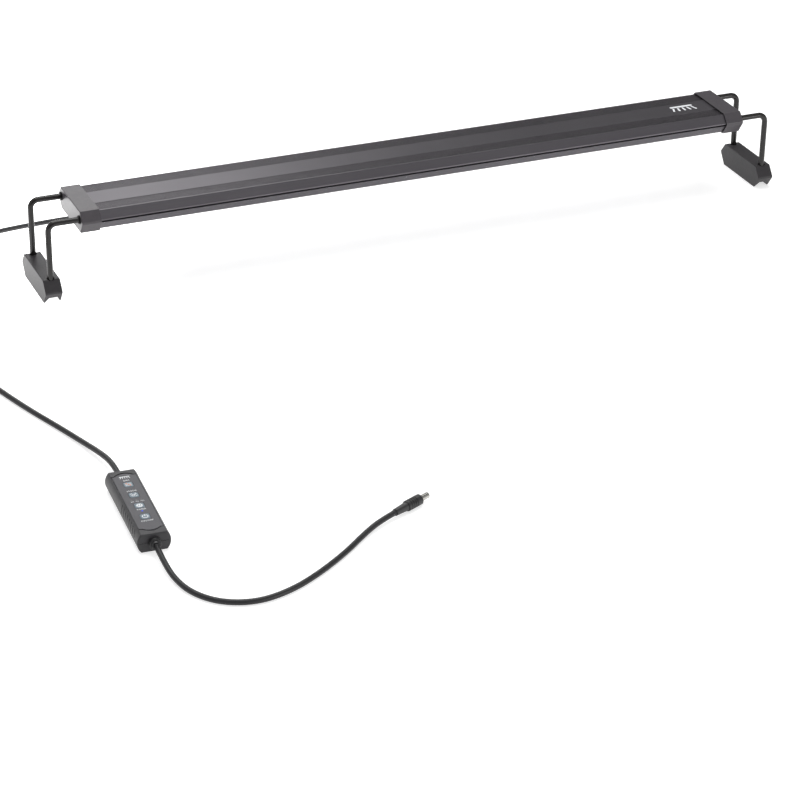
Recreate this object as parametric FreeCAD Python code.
"""Bar-shaped LED light that stands across the top of an aquarium on two sliding legs.

Frame: X runs along the bar, +Y is the rear, +Z is up, and the feet stand on z = 0.
The origin lies at the middle of the lamp's footprint. All sizes are in millimetres.
"""
import FreeCAD, Part
import math
import os

V = FreeCAD.Vector
os.makedirs("parts", exist_ok=True)

# ---- driving dimensions: lamp body ------------------------------------------------------
LAMP_LENGTH = 720.0            # over the two end caps
CAP_LENGTH = 19.5
CAP_END_WALL = 3.5
CAP_WALL = 1.6                 # the caps stand this much proud of the bar
CAP_MOUTH = (2.2, 0.8)         # length and depth of the shadow gap around the bar
BAR_ENTRY = 5.0                # how far the bar reaches into each cap
TOP_HALF, MID_HALF, BOTTOM_HALF = 32.4, 40.7, 32.15
TOP_Z, MID_Z, BOTTOM_Z = 89.4, 79.9, 67.0
MID_ROUND, LEAST_ROUND = 3.0, 0.4    # round on the widest corner, outside and deep inside
EDGE_ROUND = 0.8

# ---- driving dimensions: aluminium section ----------------------------------------------
SIDE_WALL = 1.6
CHANNEL_INNER_Y, CHANNEL_Z = 26.0, (76.0, 85.6)
CHAMBER_HALF, CHAMBER_TOP = 24.8, 84.4
RECESS_HALF, RECESS_TOP = 30.6, 73.6
BAND_HALF = 14.0               # smooth middle band of the top
BAND_EDGE, BAND_DROP = 30.2, 0.3
RIB_PITCH, RIB_GAP, RIB_DEPTH = 1.5, 0.7, 0.45
SIDE_GROOVE_Z, SIDE_GROOVE_DEPTH, SIDE_GROOVE_WALL = (76.9, 79.3), 1.6, 1.0

# ---- driving dimensions: optics -----------------------------------------------------------
OPTIC_HALF_LENGTH = 340.0
BEZEL_INNER, BEZEL_OUTER, BEZEL_Z = 21.3, 30.6, (69.5, 71.5)
LENS_HALF, LENS_Z = 24.6, (71.5, 73.4)
BOARD_HALF_LENGTH, BOARD_HALF, BOARD_Z = 339.8, 24.6, (82.8, 84.2)
BOARD_SHOWS_HALF = 17.2
TAPE_HALF_LENGTH, TAPE_HALF = 336.0, 23.0

# ---- driving dimensions: diode rows ---------------------------------------------------------
ROW_COUNT, ROW_PITCH, COLUMN_PITCH = 47, 14.4, 8.9
SMALL_LED = (3.5, 3.5, 0.8)
RGB_LED = (5.0, 5.0, 1.6)
RESISTOR = (3.2, 1.6, 0.55)
OUTER_START, OUTER_REPEAT = "wowwwo", "wwwo"         # w white, o warm white
CENTRE_START, CENTRE_REPEAT = "grgrrr", "grwr"       # g colour-mixing, r red, w white
RESISTOR_REPEAT = ["c", "", "lcr", "lcr", "c", "lr", "c", "r", "", "", "c", "lc"]

# ---- driving dimensions: legs ---------------------------------------------------------------
ROD_RADIUS, ROD_Y, ROD_Z = 3.0, 30.4, 80.5
ROD_BEND = 8.0
ROD_REACH = 31.5               # vertical part of a rod to the cap's outer face
ROD_FOOT_END = 9.5             # height of the rod's lower end inside the foot
ROD_INNER_END = 243.0          # inner end of a rod, inside the bar
GUIDE_RADIUS, GUIDE_LENGTH = 3.8, 12.0
BUSH_RADIUS, BUSH_BORE, BUSH_PROUD, BUSH_INSIDE = 4.2, 3.06, 1.2, 4.0
FOOT_THICK, FOOT_HEIGHT = 17.0, 23.7
FOOT_TOP_HALF, FOOT_MID_HALF, FOOT_BOTTOM_HALF, FOOT_MID_Z = 33.0, 41.7, 32.6, 12.4
FOOT_NOSE_ROUND = 2.5
SLOT_HEIGHT, SLOT_CEILING_HALF, SLOT_MOUTH_HALF = 6.2, 4.2, 7.4
FIT_GAP = 0.05

# ---- driving dimensions: cord and its ends ----------------------------------------------------
CORD_RADIUS = 2.5
CORD_LIE = 2.6                 # height of the cord's middle where it lies on the surface
GLAND_FACE = V(351.0, 35.6, 72.6)
GLAND_TILT = 15.0              # degrees below the horizontal
GLAND_LENGTH = 26.0

# ---- driving dimensions: inline controller ----------------------------------------------------
CONTROL_LENGTH, CONTROL_HEIGHT = 110.0, 17.0
CONTROL_TOP_HALF, CONTROL_MID_HALF = 11.0, 14.4
CONTROL_WALL, CONTROL_END_WALL = 1.6, 1.8
CONTROL_CENTRE, CONTROL_TURN = (-443.3, -460.0), -93.4
CONTROL_SEAM = (0.4, 0.3)      # height and depth of the shadow gap between base and top
LABEL_HALF_LENGTH, LABEL_HALF, LABEL_DEPTH = 45.0, 10.2, 0.5
LABEL_BULGE, LABEL_BULGE_HALF = 3.4, 7.4
KEY_SIZE, KEY_ROUND, KEY_GAP, KEY_TRAVEL = 8.2, 2.0, 0.3, 0.4
KEY_PLACES = {"dim": -29.5, "mode": -11.0, "timer": 7.6, "power": 26.2}
KEY_TOP, KEY_BOTTOM, KEY_FLANGE = 17.2, 14.0, (9.8, 0.7)
DOT_PLACE, DOT_PITCH, DOT_RADIUS = -2.0, 4.1, 0.8
STATUS_PLACE = 16.8
CIRCUIT_SIZE, CIRCUIT_Z = (88.0, 20.0), (8.6, 9.8)
SWITCH_SIZE, SWITCH_HEIGHT, PLUNGER_RADIUS, PLUNGER_TOP = 6.0, 3.0, 1.6, 13.5
SCREW_PLACES = [(49.6, 7.0), (49.6, -7.0), (-49.6, 7.0), (-49.6, -7.0)]
SCREW_RADIUS, SCREW_HEAD_RADIUS, POST_RADIUS = 1.1, 2.0, 2.7
VENT_COUNT, VENT_FIRST, VENT_PITCH = 8, 1.5, 5.9
ENTRY_Z = 8.5                  # height of the cord's middle at the controller
INLET_TIP, OUTLET_TIP = 63.0, 61.5

# ---- driving dimensions: low-voltage plug -----------------------------------------------------
PLUG_TURN = 25.0               # degrees from +X towards +Y
PLUG_TAIL = V(-243.0, -537.0, 4.9)
PLUG_GRIP_RADIUS, PLUG_GRIP_LENGTH, PLUG_TAIL_LENGTH = 4.8, 17.0, 14.0
BARREL_RADIUS, BARREL_LENGTH, BARREL_BORE = 2.75, 9.5, 1.05

# ---- values worked out from the above ---------------------------------------------------------
CAP_OUTER_X = LAMP_LENGTH / 2
CAP_INNER_X = CAP_OUTER_X - CAP_LENGTH
CAP_POCKET_X = CAP_OUTER_X - CAP_END_WALL
BAR_HALF_LENGTH = CAP_INNER_X + BAR_ENTRY
ROD_OUT_X = CAP_OUTER_X + ROD_REACH
CAP_OUTLINE = [(-TOP_HALF, TOP_Z), (-MID_HALF, MID_Z), (-BOTTOM_HALF, BOTTOM_Z),
               (BOTTOM_HALF, BOTTOM_Z), (MID_HALF, MID_Z), (TOP_HALF, TOP_Z)]
BAR_TOP_Z = TOP_Z - CAP_WALL
GLAND_WAY = V(0, math.cos(math.radians(GLAND_TILT)), -math.sin(math.radians(GLAND_TILT)))
GLAND_TIP = GLAND_FACE + GLAND_WAY * GLAND_LENGTH
PLUG_WAY = V(math.cos(math.radians(PLUG_TURN)), math.sin(math.radians(PLUG_TURN)), 0)


# ---- general shapes -----------------------------------------------------------------------------
def block(x_range, y_range, z_range):
    """A box between two values on each axis."""
    corner = V(x_range[0], y_range[0], z_range[0])
    return Part.makeBox(x_range[1] - x_range[0], y_range[1] - y_range[0],
                        z_range[1] - z_range[0], corner)


def prism(points, way):
    """Extrude the closed polygon through points along way."""
    return Part.Face(Part.makePolygon(points + [points[0]])).extrude(way)


def prism_x(outline, x_start, x_end):
    """Extrude a (y, z) outline along X."""
    return prism([V(x_start, y, z) for y, z in outline], V(x_end - x_start, 0, 0))


def rod_between(start, end, radius):
    """A round bar between two points."""
    return Part.makeCylinder(radius, (end - start).Length, start, end - start)


def pipe_between(start, end, radius, bore):
    """A round tube between two points."""
    outside = rod_between(start, end, radius)
    return outside.cut(rod_between(start, end, bore))


def turned(profile, start, way):
    """Revolve (distance along way, radius) points about the line from start along way."""
    across = V(0, 0, 1) if abs(way.z) < 0.9 else V(1, 0, 0)
    across = (across - way * across.dot(way)).normalize()
    points = [start + way * along + across * radius for along, radius in profile]
    return Part.Face(Part.makePolygon(points + [points[0]])).revolve(start, way, 360)


def in_rear_and_front(shape):
    """The shape, and its mirror image across the lamp's middle plane, as two solids."""
    return Part.makeCompound([shape, shape.mirror(V(0, 0, 0), V(0, 1, 0))])


def at_other_end(shape):
    """The shape mirrored to the lamp's other end."""
    return shape.mirror(V(0, 0, 0), V(1, 0, 0))


def edges_where(shape, test):
    """The edges whose every vertex passes a test."""
    return [edge for edge in shape.Edges if all(test(vertex.Point) for vertex in edge.Vertexes)]


def inset(outline, distance):
    """Move every side of a convex outline inwards by distance."""
    count = len(outline)
    lines = []
    for index in range(count):
        (y1, z1), (y2, z2) = outline[index], outline[(index + 1) % count]
        length = math.hypot(y2 - y1, z2 - z1)
        normal = ((z1 - z2) / length, (y2 - y1) / length)
        lines.append((normal, normal[0] * y1 + normal[1] * z1 + distance))
    corners = []
    for index in range(count):
        (a1, b1), c1 = lines[index - 1]
        (a2, b2), c2 = lines[index]
        scale = a1 * b2 - a2 * b1
        corners.append(((c1 * b2 - c2 * b1) / scale, (a1 * c2 - a2 * c1) / scale))
    return corners


def body_prism(inset_by, x_start, x_end):
    """The lamp's six-sided body, inset all round, with its widest corners rounded."""
    shape = prism_x(inset(CAP_OUTLINE, inset_by), x_start, x_end)
    reach = max(abs(vertex.Y) for vertex in shape.Vertexes)
    corners = edges_where(shape, lambda point: abs(abs(point.y) - reach) < 0.01)
    return shape.makeFillet(max(LEAST_ROUND, MID_ROUND - 0.8 * inset_by), corners)


# ---- cords ----------------------------------------------------------------------------------------
def rounded_route(points):
    """Straight runs joined by the largest tangent arcs that 0.45 of each run allows."""
    edges, radii = [], []
    start = points[0]
    for before, corner, after in zip(points, points[1:], points[2:]):
        way_in = (corner - before).normalize()
        way_out = (after - corner).normalize()
        half_turn = way_in.getAngle(way_out) / 2
        cut_back = 0.45 * min((corner - before).Length, (after - corner).Length)
        radius = cut_back / math.tan(half_turn)
        arc_start = corner - way_in * cut_back
        arc_end = corner + way_out * cut_back
        inwards = (way_out - way_in).normalize()
        middle = corner + inwards * (radius / math.cos(half_turn) - radius)
        edges.append(Part.LineSegment(start, arc_start).toShape())
        edges.append(Part.Arc(arc_start, middle, arc_end).toShape())
        radii.append(radius)
        start = arc_end
    edges.append(Part.LineSegment(start, points[-1]).toShape())
    return Part.Wire(edges), radii


def tube_along(points, radius, name):
    """A solid tube along a rounded route; prints its radii, length and volume."""
    route, radii = rounded_route(points)
    way = (points[1] - points[0]).normalize()
    ring = Part.Wire(Part.makeCircle(radius, points[0], way))
    tube = route.makePipeShell([ring], True, False)
    expected = math.pi * radius ** 2 * route.Length
    print(name, "length %.0f" % route.Length, "volume/expected %.4f" % (tube.Volume / expected),
          "radii", " ".join("%.0f" % value for value in radii))
    return tube


# ---- lamp body ------------------------------------------------------------------------------------
def bar_extrusion():
    """Black aluminium section: ribbed top, side channels for the rods, chamber for the board."""
    ends = (-BAR_HALF_LENGTH, BAR_HALF_LENGTH)
    past = (ends[0] - 1, ends[1] + 1)
    bar = body_prism(CAP_WALL, *ends)
    cutters = [block(past, (-CHAMBER_HALF, CHAMBER_HALF), (BOTTOM_Z - 1, CHAMBER_TOP)),
               block(past, (-RECESS_HALF, RECESS_HALF), (BOTTOM_Z - 1, RECESS_TOP))]
    channel = body_prism(CAP_WALL + SIDE_WALL, *past)
    channel = channel.common(block(past, (CHANNEL_INNER_Y, MID_HALF), CHANNEL_Z))
    groove_low, groove_high = SIDE_GROOVE_Z
    skin = body_prism(0, *past).cut(body_prism(CAP_WALL + SIDE_GROOVE_DEPTH, *past))
    side_groove = skin.common(block(past, (0, MID_HALF), SIDE_GROOVE_Z))
    lining = body_prism(0, *past)
    lining = lining.cut(body_prism(CAP_WALL + SIDE_GROOVE_DEPTH + SIDE_GROOVE_WALL, *past))
    behind_groove = (groove_low - SIDE_GROOVE_WALL, groove_high + SIDE_GROOVE_WALL)
    channel = channel.cut(lining.common(block(past, (0, MID_HALF), behind_groove)))
    band_floor = BAR_TOP_Z - BAND_DROP
    band = block(past, (BAND_HALF, BAND_EDGE), (band_floor, TOP_Z))
    rib_count = int((BAND_EDGE - BAND_HALF - RIB_GAP) / RIB_PITCH)
    ribs = []
    for index in range(rib_count):
        y = BAND_HALF + RIB_GAP + index * RIB_PITCH
        ribs.append(block(past, (y, y + RIB_GAP), (band_floor - RIB_DEPTH, TOP_Z)))
    for cutter in [channel, side_groove, band] + ribs:
        cutters.append(in_rear_and_front(cutter))
    return bar.cut(cutters)


def end_cap():
    """Moulded cap that closes the bar's right end and guides the two rods of a leg."""
    cap = body_prism(0, CAP_INNER_X, CAP_OUTER_X)
    rim = edges_where(cap, lambda point: abs(point.x - CAP_OUTER_X) < 0.01)
    cap = cap.makeFillet(EDGE_ROUND, rim)
    cap = cap.cut(body_prism(CAP_WALL, CAP_INNER_X - 1, CAP_POCKET_X))
    mouth_length, mouth_depth = CAP_MOUTH
    mouth = body_prism(CAP_WALL - mouth_depth, CAP_INNER_X - 1, CAP_INNER_X + mouth_length)
    cap = cap.cut(mouth)
    for side in (-1, 1):
        start = V(CAP_POCKET_X - 1, side * ROD_Y, ROD_Z)
        cap = cap.cut(rod_between(start, start + V(CAP_END_WALL + 2, 0, 0), BUSH_RADIUS))
    return cap


def rod_bushes():
    """Two plain bushes in the cap's end wall, each with a lip outside."""
    start = V(CAP_OUTER_X - BUSH_INSIDE, ROD_Y, ROD_Z)
    end = V(CAP_OUTER_X + BUSH_PROUD, ROD_Y, ROD_Z)
    return in_rear_and_front(pipe_between(start, end, BUSH_RADIUS, BUSH_BORE))


def end_seal():
    """Silicone plug that closes the board's chamber at the bar's right end."""
    reach = (OPTIC_HALF_LENGTH, BAR_HALF_LENGTH)
    upper = block(reach, (-CHAMBER_HALF, CHAMBER_HALF), (RECESS_TOP, CHAMBER_TOP))
    lower = block(reach, (-RECESS_HALF, RECESS_HALF), (BEZEL_Z[0], RECESS_TOP))
    return upper.fuse(lower).removeSplitter()


# ---- optics -----------------------------------------------------------------------------------------
def optic_strip(outline):
    """One strip along the lamp, and its mirror image on the front side."""
    return in_rear_and_front(prism_x(outline, -OPTIC_HALF_LENGTH, OPTIC_HALF_LENGTH))


def bezel_strips():
    """Glossy black strips on both sides of the lens, chamfered along the light's opening."""
    low, high = BEZEL_Z
    chamfer = 0.6
    return optic_strip([(BEZEL_INNER + chamfer, low), (BEZEL_OUTER, low), (BEZEL_OUTER, high),
                        (BEZEL_INNER, high), (BEZEL_INNER, low + chamfer)])


def reflector_strips():
    """Sloping mirrors between the lens and the board."""
    return optic_strip([(BEZEL_INNER, LENS_Z[1]), (CHAMBER_HALF, RECESS_TOP),
                        (CHAMBER_HALF, BOARD_Z[0]), (BOARD_SHOWS_HALF, BOARD_Z[0])])


def lens_cover():
    """Clear splash cover under the diodes."""
    return block((-OPTIC_HALF_LENGTH, OPTIC_HALF_LENGTH), (-LENS_HALF, LENS_HALF), LENS_Z)


def led_board():
    return block((-BOARD_HALF_LENGTH, BOARD_HALF_LENGTH), (-BOARD_HALF, BOARD_HALF), BOARD_Z)


def thermal_tape():
    return block((-TAPE_HALF_LENGTH, TAPE_HALF_LENGTH), (-TAPE_HALF, TAPE_HALF),
                 (BOARD_Z[1], CHAMBER_TOP))


def on_board(size, x, y):
    """A small part soldered to the underside of the board, centred at (x, y)."""
    length, width, height = size
    return block((x - length / 2, x + length / 2), (y - width / 2, y + width / 2),
                 (BOARD_Z[0] - height, BOARD_Z[0]))


def row_places():
    """The X of each row of diodes."""
    return [(index - (ROW_COUNT - 1) / 2) * ROW_PITCH for index in range(ROW_COUNT)]


def pattern(start, repeat, index):
    """The letter at one place of a pattern that begins with start and then repeats."""
    return start[index] if index < len(start) else repeat[(index - len(start)) % len(repeat)]


def diodes():
    """The diodes by kind: three columns, in the order in which the rows repeat."""
    kinds = {"leds_white": [], "leds_warm": [], "leds_red": [], "leds_rgb": []}
    node_of = {"w": "leds_white", "o": "leds_warm", "r": "leds_red", "g": "leds_rgb"}
    for index, x in enumerate(row_places()):
        outer = pattern(OUTER_START, OUTER_REPEAT, index)
        centre = pattern(CENTRE_START, CENTRE_REPEAT, index)
        size = RGB_LED if centre == "g" else SMALL_LED
        kinds[node_of[centre]].append(on_board(size, x, 0))
        for side in (-1, 1):
            kinds[node_of[outer]].append(on_board(SMALL_LED, x, side * COLUMN_PITCH))
    return {node: Part.makeCompound(solids) for node, solids in kinds.items()}


def board_resistors():
    """Small resistors in the gaps between the rows."""
    column_of = {"l": -COLUMN_PITCH, "c": 0.0, "r": COLUMN_PITCH}
    solids = []
    for index, x in enumerate(row_places()[:-1]):
        for column in RESISTOR_REPEAT[index % len(RESISTOR_REPEAT)]:
            solids.append(on_board(RESISTOR, x + ROW_PITCH / 2, column_of[column]))
    return Part.makeCompound(solids)


# ---- wiring at the right end ------------------------------------------------------------------------
TERMINAL_X, TERMINAL_SIZE = 336.0, (3.6, 9.0, 3.2)
LEAD_RADIUS, LEAD_PITCH = 0.65, 2.6


def board_terminal():
    return on_board(TERMINAL_SIZE, TERMINAL_X, 0)


def lamp_leads():
    """Four insulated wires from the gland to the terminal on the board."""
    solids = []
    height = BOARD_Z[0] - TERMINAL_SIZE[2] / 2
    inner = GLAND_FACE - GLAND_WAY * 4.3
    for index in range(4):
        shift = (index - 1.5) * LEAD_PITCH
        start = inner + V(0.6 * shift, 0, 0)
        corner = V(GLAND_FACE.x + 0.6 * shift, shift, height)
        end = V(TERMINAL_X + TERMINAL_SIZE[0] / 2, shift, height)
        solids.append(tube_along([start, corner, end], LEAD_RADIUS, "lamp lead"))
    return Part.makeCompound(solids)


def cord_gland():
    """Strain relief in the rear of the right cap: flange inside, boss, then a soft taper."""
    profile = [(-4.3, 0), (-4.3, 4.3), (-3.3, 4.3), (-3.3, 3.4), (1.6, 3.4), (1.6, 4.4),
               (5.0, 4.4), (6.0, 4.0), (GLAND_LENGTH, 3.0), (GLAND_LENGTH, 0)]
    return turned(profile, GLAND_FACE, GLAND_WAY)


def gland_hole():
    return rod_between(GLAND_FACE - GLAND_WAY * 3.2, GLAND_FACE + GLAND_WAY * 3.0, 3.45)


# ---- legs -------------------------------------------------------------------------------------------
def bent_rod(side):
    """Steel rod: out of the cap, bent through a right angle, down into the foot."""
    y = side * ROD_Y
    bend_start = V(ROD_OUT_X - ROD_BEND, y, ROD_Z)
    bend_end = V(ROD_OUT_X, y, ROD_Z - ROD_BEND)
    diagonal = ROD_BEND * math.sqrt(0.5)
    middle = V(bend_start.x + diagonal, y, bend_end.z + diagonal)
    start = V(ROD_INNER_END, y, ROD_Z)
    path = Part.Wire([Part.LineSegment(start, bend_start).toShape(),
                      Part.Arc(bend_start, middle, bend_end).toShape(),
                      Part.LineSegment(bend_end, V(ROD_OUT_X, y, ROD_FOOT_END)).toShape()])
    ring = Part.Wire(Part.makeCircle(ROD_RADIUS, start, V(1, 0, 0)))
    return path.makePipeShell([ring], True, False)


def rod_guides():
    """Nylon guides on the inner ends of a leg's rods, sliding in the bar's side channels."""
    start = V(ROD_INNER_END, ROD_Y, ROD_Z)
    end = start + V(GUIDE_LENGTH, 0, 0)
    return in_rear_and_front(pipe_between(start, end, GUIDE_RADIUS, ROD_RADIUS + FIT_GAP))


def foot():
    """Moulded foot with a flared slot underneath that straddles the tank's rim."""
    outline = [(-FOOT_TOP_HALF, FOOT_HEIGHT), (-FOOT_MID_HALF, FOOT_MID_Z), (-FOOT_BOTTOM_HALF, 0),
               (FOOT_BOTTOM_HALF, 0), (FOOT_MID_HALF, FOOT_MID_Z), (FOOT_TOP_HALF, FOOT_HEIGHT)]
    shape = prism_x(outline, ROD_OUT_X - FOOT_THICK / 2, ROD_OUT_X + FOOT_THICK / 2)
    noses = edges_where(shape, lambda point: abs(point.z - FOOT_MID_Z) < 0.1)
    shape = shape.makeFillet(FOOT_NOSE_ROUND, noses)
    upper = edges_where(shape, lambda point: point.z > FOOT_MID_Z + 3)
    shape = shape.makeFillet(EDGE_ROUND, upper)
    start_y = -FOOT_MID_HALF - 1
    slot = [V(ROD_OUT_X - SLOT_MOUTH_HALF, start_y, -0.01),
            V(ROD_OUT_X + SLOT_MOUTH_HALF, start_y, -0.01),
            V(ROD_OUT_X + SLOT_CEILING_HALF, start_y, SLOT_HEIGHT),
            V(ROD_OUT_X - SLOT_CEILING_HALF, start_y, SLOT_HEIGHT)]
    shape = shape.cut(prism(slot, V(0, -2 * start_y, 0)))
    for side in (-1, 1):
        bottom = V(ROD_OUT_X, side * ROD_Y, ROD_FOOT_END)
        ring = V(ROD_OUT_X, side * ROD_Y, FOOT_HEIGHT - 1.2)
        shape = shape.cut(rod_between(bottom, bottom + V(0, 0, 20), ROD_RADIUS + FIT_GAP))
        shape = shape.cut(rod_between(ring, ring + V(0, 0, 5), ROD_RADIUS + 0.9))
    return shape


# ---- controller: built along its own X, then laid in place -----------------------------------------
def laid(shape):
    """Move a controller shape from its own frame to where it lies."""
    shape = shape.copy()
    shape.rotate(V(0, 0, 0), V(0, 0, 1), CONTROL_TURN)
    shape.translate(V(CONTROL_CENTRE[0], CONTROL_CENTRE[1], 0))
    return shape


def laid_point(x, z):
    """A point on the controller's middle line, in the lamp's frame."""
    turn = math.radians(CONTROL_TURN)
    return V(CONTROL_CENTRE[0] + x * math.cos(turn), CONTROL_CENTRE[1] + x * math.sin(turn), z)


def control_prism(half_length, top_half, mid_half, z_low, z_high):
    """A body whose long sides are single arcs between a flat top and a flat bottom."""
    x, middle = -half_length, (z_low + z_high) / 2
    corners = [V(x, -top_half, z_high), V(x, top_half, z_high),
               V(x, top_half, z_low), V(x, -top_half, z_low)]
    edges = [Part.LineSegment(corners[0], corners[1]).toShape(),
             Part.Arc(corners[1], V(x, mid_half, middle), corners[2]).toShape(),
             Part.LineSegment(corners[2], corners[3]).toShape(),
             Part.Arc(corners[3], V(x, -mid_half, middle), corners[0]).toShape()]
    return Part.Face(Part.Wire(edges)).extrude(V(2 * half_length, 0, 0))


def label_outline(margin, z_low, z_high):
    """The label's shape: a long rectangle with a shallow arc bulging out of each end."""
    half = LABEL_HALF + margin
    end = LABEL_HALF_LENGTH + margin
    bulge, bulge_half = LABEL_BULGE + margin, LABEL_BULGE_HALF + margin
    edges = []
    for sign in (1, -1):
        near, far = V(sign * end, -sign * bulge_half, z_low), V(sign * end, sign * bulge_half, z_low)
        corner_in, corner_out = V(sign * end, -sign * half, z_low), V(sign * end, sign * half, z_low)
        edges.append(Part.LineSegment(corner_in, near).toShape())
        edges.append(Part.Arc(near, V(sign * (end + bulge), 0, z_low), far).toShape())
        edges.append(Part.LineSegment(far, corner_out).toShape())
        edges.append(Part.LineSegment(corner_out, V(-sign * end, sign * half, z_low)).toShape())
    return Part.Face(Part.Wire(edges)).extrude(V(0, 0, z_high - z_low))


def rounded_square(x, size, round_radius, z_low, z_high):
    """A square post with rounded upright edges, centred at (x, 0)."""
    half = size / 2
    shape = block((x - half, x + half), (-half, half), (z_low, z_high))
    upright = [edge for edge in shape.Edges
               if abs(edge.Vertexes[0].Z - edge.Vertexes[-1].Z) > 0.01]
    return shape.makeFillet(round_radius, upright)


def key_windows(z_low, z_high):
    return [rounded_square(x, KEY_SIZE + 2 * KEY_GAP, KEY_ROUND + KEY_GAP, z_low, z_high)
            for x in KEY_PLACES.values()]


def dot_posts(radius, z_low, z_high):
    """Posts at the three timer dots."""
    return [rod_between(V(DOT_PLACE, y, z_low), V(DOT_PLACE, y, z_high), radius)
            for y in (-DOT_PITCH, 0, DOT_PITCH)]


def status_post(radius, z_low, z_high):
    return rod_between(V(STATUS_PLACE, 0, z_low), V(STATUS_PLACE, 0, z_high), radius)


def controller_shell():
    """The whole hollow housing before it is split into base and top."""
    half = CONTROL_LENGTH / 2
    shell = control_prism(half, CONTROL_TOP_HALF, CONTROL_MID_HALF, 0, CONTROL_HEIGHT)
    ends = edges_where(shell, lambda point: abs(abs(point.x) - half) < 0.01)
    shell = shell.makeFillet(1.2, ends)
    hollow = control_prism(half - CONTROL_END_WALL, CONTROL_TOP_HALF - 1.2,
                           CONTROL_MID_HALF - CONTROL_WALL, CONTROL_WALL, 14.9)
    shell = shell.cut(hollow)
    neck = rod_between(V(-half - 1, 0, ENTRY_Z), V(half + 1, 0, ENTRY_Z), 3.45)
    return shell.cut(neck)


def screw_hole(x, y):
    """Clearance for a screw and its head, from below."""
    head = rod_between(V(x, y, -1), V(x, y, 2.1), SCREW_HEAD_RADIUS + 0.15)
    return head.fuse(rod_between(V(x, y, 0), V(x, y, 13.2), SCREW_RADIUS + FIT_GAP))


def post(x, y, z_low, z_high):
    return rod_between(V(x, y, z_low), V(x, y, z_high), POST_RADIUS)


def controller_base():
    """Lower shell with the four screw posts."""
    lower = block((-CONTROL_LENGTH, CONTROL_LENGTH), (-20, 20), (-1, ENTRY_Z))
    shape = controller_shell().common(lower)
    shape = shape.fuse([post(x, y, 1.0, ENTRY_Z) for x, y in SCREW_PLACES])
    shape = shape.cut([screw_hole(x, y) for x, y in SCREW_PLACES])
    return shape.removeSplitter()


def side_vents():
    """Slanted grip slots low on both long sides."""
    slots = []
    for index in range(VENT_COUNT):
        x = VENT_FIRST + index * VENT_PITCH
        slot = block((-3.6, 3.6), (CONTROL_MID_HALF - 2.2, CONTROL_MID_HALF + 2), (-0.6, 0.6))
        slot.rotate(V(0, 0, 0), V(0, 1, 0), 52)
        slot.translate(V(x, 0, ENTRY_Z + 4.3))
        slots.append(in_rear_and_front(slot))
    return slots


def seam_gap():
    """A thin ring that takes the top shell's lower edge back all round."""
    height, depth = CONTROL_SEAM
    half = CONTROL_LENGTH / 2
    ring = control_prism(half + 1, CONTROL_TOP_HALF, CONTROL_MID_HALF + 1, 0, CONTROL_HEIGHT)
    ring = ring.cut(control_prism(half - depth, CONTROL_TOP_HALF, CONTROL_MID_HALF - depth, 0,
                                  CONTROL_HEIGHT))
    return ring.common(block((-CONTROL_LENGTH, CONTROL_LENGTH), (-20, 20),
                             (ENTRY_Z, ENTRY_Z + height)))


def controller_top():
    """Upper shell with the recess for the label, the key windows and the grip slots."""
    upper = block((-CONTROL_LENGTH, CONTROL_LENGTH), (-20, 20), (ENTRY_Z, 2 * ENTRY_Z + 1))
    shape = controller_shell().common(upper)
    shape = shape.fuse([post(x, y, ENTRY_Z, 15.0) for x, y in SCREW_PLACES])
    recess = label_outline(0.9, CONTROL_HEIGHT - LABEL_DEPTH - 0.1, CONTROL_HEIGHT + 1)
    below, above = 14.0, CONTROL_HEIGHT + 1
    cutters = [screw_hole(x, y) for x, y in SCREW_PLACES] + side_vents()
    cutters += [recess, seam_gap()]
    cutters += key_windows(below, above) + dot_posts(DOT_RADIUS + FIT_GAP, below, above)
    cutters.append(status_post(DOT_RADIUS + FIT_GAP, below, above))
    return shape.cut(cutters).removeSplitter()


def controller_label():
    """Printed overlay with openings for keys and light guides."""
    low, high = CONTROL_HEIGHT - LABEL_DEPTH - 0.1, CONTROL_HEIGHT
    shape = label_outline(0, low, high)
    cutters = key_windows(low - 1, high + 1) + dot_posts(DOT_RADIUS + FIT_GAP, low - 1, high + 1)
    cutters.append(status_post(DOT_RADIUS + FIT_GAP, low - 1, high + 1))
    return shape.cut(cutters)


def key(x):
    """One key: a rounded square cap on a flange that keeps it in the housing."""
    cap = rounded_square(x, KEY_SIZE, KEY_ROUND, KEY_BOTTOM, KEY_TOP)
    rim = edges_where(cap, lambda point: point.z > KEY_TOP - 0.01)
    cap = cap.makeFillet(0.25, rim)
    size, thick = KEY_FLANGE
    flange = rounded_square(x, size, KEY_ROUND, KEY_BOTTOM, KEY_BOTTOM + thick)
    return cap.fuse(flange).removeSplitter()


def key_switches():
    """Four small switches on the circuit board, one under each key."""
    solids = []
    base = CIRCUIT_Z[1]
    for x in KEY_PLACES.values():
        half = SWITCH_SIZE / 2
        case = block((x - half, x + half), (-half, half), (base, base + SWITCH_HEIGHT))
        plunger = rod_between(V(x, 0, base + 1), V(x, 0, PLUNGER_TOP), PLUNGER_RADIUS)
        solids.append(case.fuse(plunger).removeSplitter())
    return Part.makeCompound(solids)


def controller_circuit():
    half_length, half_width = CIRCUIT_SIZE[0] / 2, CIRCUIT_SIZE[1] / 2
    return block((-half_length, half_length), (-half_width, half_width), CIRCUIT_Z)


def timer_dots():
    return Part.makeCompound(dot_posts(DOT_RADIUS, CIRCUIT_Z[1] + 0.4, CONTROL_HEIGHT))


def status_light():
    return status_post(DOT_RADIUS, CIRCUIT_Z[1] + 0.4, CONTROL_HEIGHT + 0.1)


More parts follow.
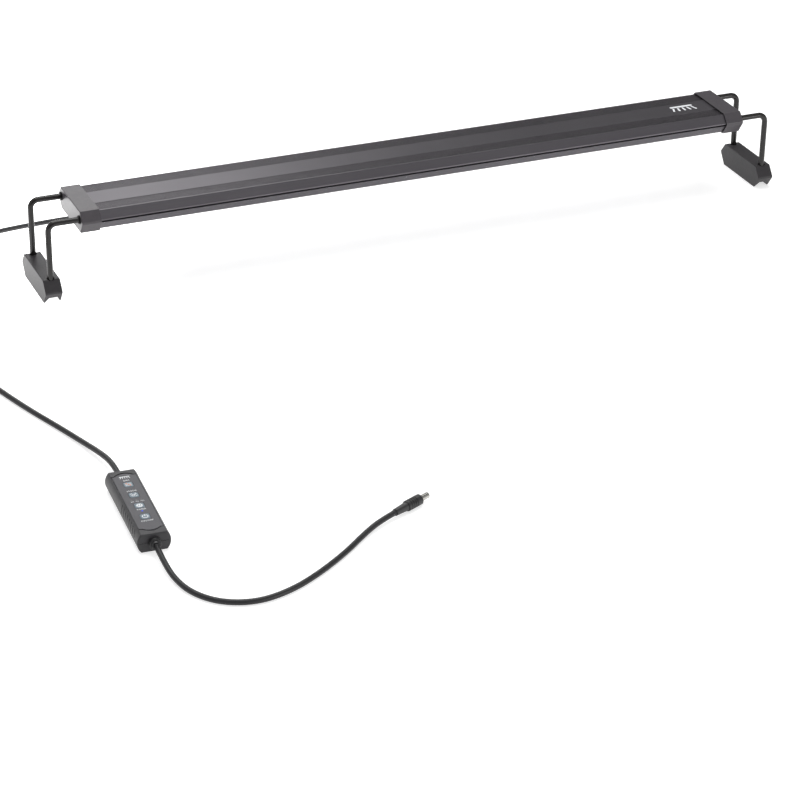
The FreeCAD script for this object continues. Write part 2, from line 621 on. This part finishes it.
def controller_screws():
    """Four self-tapping screws put in from below."""
    solids = []
    for x, y in SCREW_PLACES:
        profile = [(0.5, 0), (0.5, SCREW_HEAD_RADIUS), (2.0, SCREW_HEAD_RADIUS),
                   (2.0, SCREW_RADIUS), (12.4, SCREW_RADIUS), (13.0, 0)]
        screw = turned(profile, V(x, y, 0), V(0, 0, 1))
        slot = block((x - 1.6, x + 1.6), (y - 0.25, y + 0.25), (0, 1.0))
        solids.append(screw.cut(slot))
    return Part.makeCompound(solids)


def controller_leads():
    """Wires from the two cord entries to the ends of the circuit board."""
    solids = []
    board_end = CIRCUIT_SIZE[0] / 2 - 3
    height = CIRCUIT_Z[1] + LEAD_RADIUS + 0.02
    for sign, places in ((-1, (-1.95, -0.65, 0.65, 1.95)), (1, (-0.7, 0.7))):
        for y in places:
            start = V(sign * (CONTROL_LENGTH / 2 - 3.6), y, height)
            solids.append(rod_between(start, V(sign * board_end, y, height), LEAD_RADIUS - 0.02))
    return Part.makeCompound(solids)


def relief(sign, collar, tip):
    """Cord relief in an end wall: flange inside, neck in the wall, collar outside."""
    half = CONTROL_LENGTH / 2
    wall = half - CONTROL_END_WALL
    collar_radius, collar_length, neck_radius = collar
    profile = [(wall - 1.7, 0), (wall - 1.7, 4.0), (wall, 4.0), (wall, 3.4), (half, 3.4),
               (half, collar_radius), (half + collar_length - 0.4, collar_radius),
               (half + collar_length, collar_radius - 0.4), (half + collar_length, neck_radius),
               (tip, neck_radius - 0.6), (tip, 0)]
    return turned(profile, V(0, 0, ENTRY_Z), V(sign, 0, 0))


# ---- low-voltage plug -------------------------------------------------------------------------------
PLUG_FACE = PLUG_TAIL + PLUG_WAY * (PLUG_TAIL_LENGTH + PLUG_GRIP_LENGTH)
BARREL_TIP = PLUG_FACE + PLUG_WAY * BARREL_LENGTH


def plug_body():
    """Moulded grip with a tapered tail and shallow grip rings."""
    tail, grip = PLUG_TAIL_LENGTH, PLUG_GRIP_RADIUS
    end = tail + PLUG_GRIP_LENGTH
    profile = [(0, 0), (0, 3.1), (tail, 3.9), (tail, grip - 0.3), (tail + 0.6, grip)]
    for index in range(4):
        start = tail + 2.2 + index * 2.4
        profile += [(start, grip), (start + 0.3, grip - 0.5),
                    (start + 1.1, grip - 0.5), (start + 1.4, grip)]
    profile += [(end - 0.6, grip), (end, grip - 0.6), (end, 0)]
    return turned(profile, PLUG_TAIL, PLUG_WAY)


def plug_barrel():
    return pipe_between(PLUG_FACE, BARREL_TIP, BARREL_RADIUS, BARREL_RADIUS - 0.35)


def plug_insulator():
    return pipe_between(PLUG_FACE, BARREL_TIP - PLUG_WAY * 0.2, BARREL_RADIUS - 0.35, 1.45)


def plug_contact():
    return pipe_between(PLUG_FACE, BARREL_TIP - PLUG_WAY * 0.8, 1.45, BARREL_BORE)


# ---- the two cords' routes, point by point -----------------------------------------------------------
LAMP_CORD_ROUTE = [
    GLAND_TIP,
    V(350.4, 74.0, 62.2),
    V(345.0, 92.0, 50.5),
    V(334.0, 108.0, 34.0),
    V(317.0, 121.0, 18.0),
    V(295.0, 131.5, 7.4),
    V(266.0, 139.5, CORD_LIE),
    V(226.0, 145.0, CORD_LIE),
    V(170.0, 149.0, CORD_LIE),
    V(104.0, 155.0, CORD_LIE),
    V(36.0, 163.0, CORD_LIE),
    V(-32.0, 168.0, CORD_LIE),
    V(-100.0, 167.0, CORD_LIE),
    V(-166.0, 160.0, CORD_LIE),
    V(-232.0, 151.0, CORD_LIE),
    V(-298.0, 146.0, CORD_LIE),
    V(-360.0, 145.0, CORD_LIE),
    V(-416.0, 138.0, CORD_LIE),
    V(-464.0, 116.0, CORD_LIE),
    V(-498.0, 78.0, CORD_LIE),
    V(-516.0, 30.0, CORD_LIE),
    V(-521.0, -22.0, CORD_LIE),
    V(-517.0, -76.0, CORD_LIE),
    V(-507.0, -131.0, CORD_LIE),
    V(-493.5, -186.0, CORD_LIE),
    V(-477.0, -240.0, CORD_LIE),
    V(-459.5, -287.0, CORD_LIE),
    V(-448.5, -322.0, 3.6),
    V(-441.5, -352.0, 6.6),
    V(-438.2, -376.0, 8.3),
    laid_point(-INLET_TIP, ENTRY_Z)]

SUPPLY_CORD_ROUTE = [
    laid_point(OUTLET_TIP, ENTRY_Z),
    V(-448.4, -541.0, 7.6),
    V(-447.6, -566.0, 4.0),
    V(-441.0, -591.0, CORD_LIE),
    V(-424.0, -613.0, CORD_LIE),
    V(-397.0, -623.0, CORD_LIE),
    V(-367.0, -617.0, CORD_LIE),
    V(-337.0, -601.5, CORD_LIE),
    V(-304.0, -578.5, CORD_LIE),
    V(-281.0, -559.0, 3.0),
    V(-261.0, -545.4, 4.6),
    PLUG_TAIL]


# ---- write every node ---------------------------------------------------------------------------------
def write(name, shape):
    """Save one node and report what it holds."""
    shape.exportStep("parts/%s.step" % name)
    print("%-22s solids %3d valid %s volume %.1f" %
          (name, len(shape.Solids), shape.isValid(), shape.Volume))


def main():
    leads = lamp_leads()
    cap, bushes, seal = end_cap(), rod_bushes(), end_seal()
    nodes = {
        "bar_extrusion": bar_extrusion(),
        "left_end_cap": at_other_end(cap),
        "right_end_cap": cap.cut(gland_hole()),
        "left_end_seal": at_other_end(seal),
        "right_end_seal": seal.cut(leads),
        "left_rod_bushes": at_other_end(bushes),
        "right_rod_bushes": bushes,
        "lens_cover": lens_cover(),
        "bezel_strips": bezel_strips(),
        "reflector_strips": reflector_strips(),
        "led_board": led_board(),
        "thermal_tape": thermal_tape(),
        "board_resistors": board_resistors(),
        "board_terminal": board_terminal(),
        "lamp_leads": leads,
        "cord_gland": cord_gland(),
        "lamp_cord": tube_along(LAMP_CORD_ROUTE, CORD_RADIUS, "lamp cord"),
        "supply_cord": tube_along(SUPPLY_CORD_ROUTE, CORD_RADIUS, "supply cord"),
        "plug_body": plug_body(),
        "plug_barrel": plug_barrel(),
        "plug_insulator": plug_insulator(),
        "plug_contact": plug_contact()}
    nodes.update(diodes())
    for end_name, place in (("right", lambda shape: shape), ("left", at_other_end)):
        nodes[end_name + "_front_rod"] = place(bent_rod(-1))
        nodes[end_name + "_rear_rod"] = place(bent_rod(1))
        nodes[end_name + "_rod_guides"] = place(rod_guides())
        nodes[end_name + "_foot"] = place(foot())
    controller = {
        "controller_base": controller_base(),
        "controller_top": controller_top(),
        "controller_label": controller_label(),
        "controller_circuit": controller_circuit(),
        "key_switches": key_switches(),
        "timer_dots": timer_dots(),
        "status_light": status_light(),
        "controller_screws": controller_screws(),
        "controller_leads": controller_leads(),
        "inlet_relief": relief(-1, (5.0, 2.2, 4.0), INLET_TIP),
        "outlet_relief": relief(1, (5.2, 4.4, 4.0), OUTLET_TIP)}
    for name, x in KEY_PLACES.items():
        controller[name + "_key"] = key(x)
    for name, shape in controller.items():
        nodes[name] = laid(shape)
    for name, shape in nodes.items():
        write(name, shape)


main()
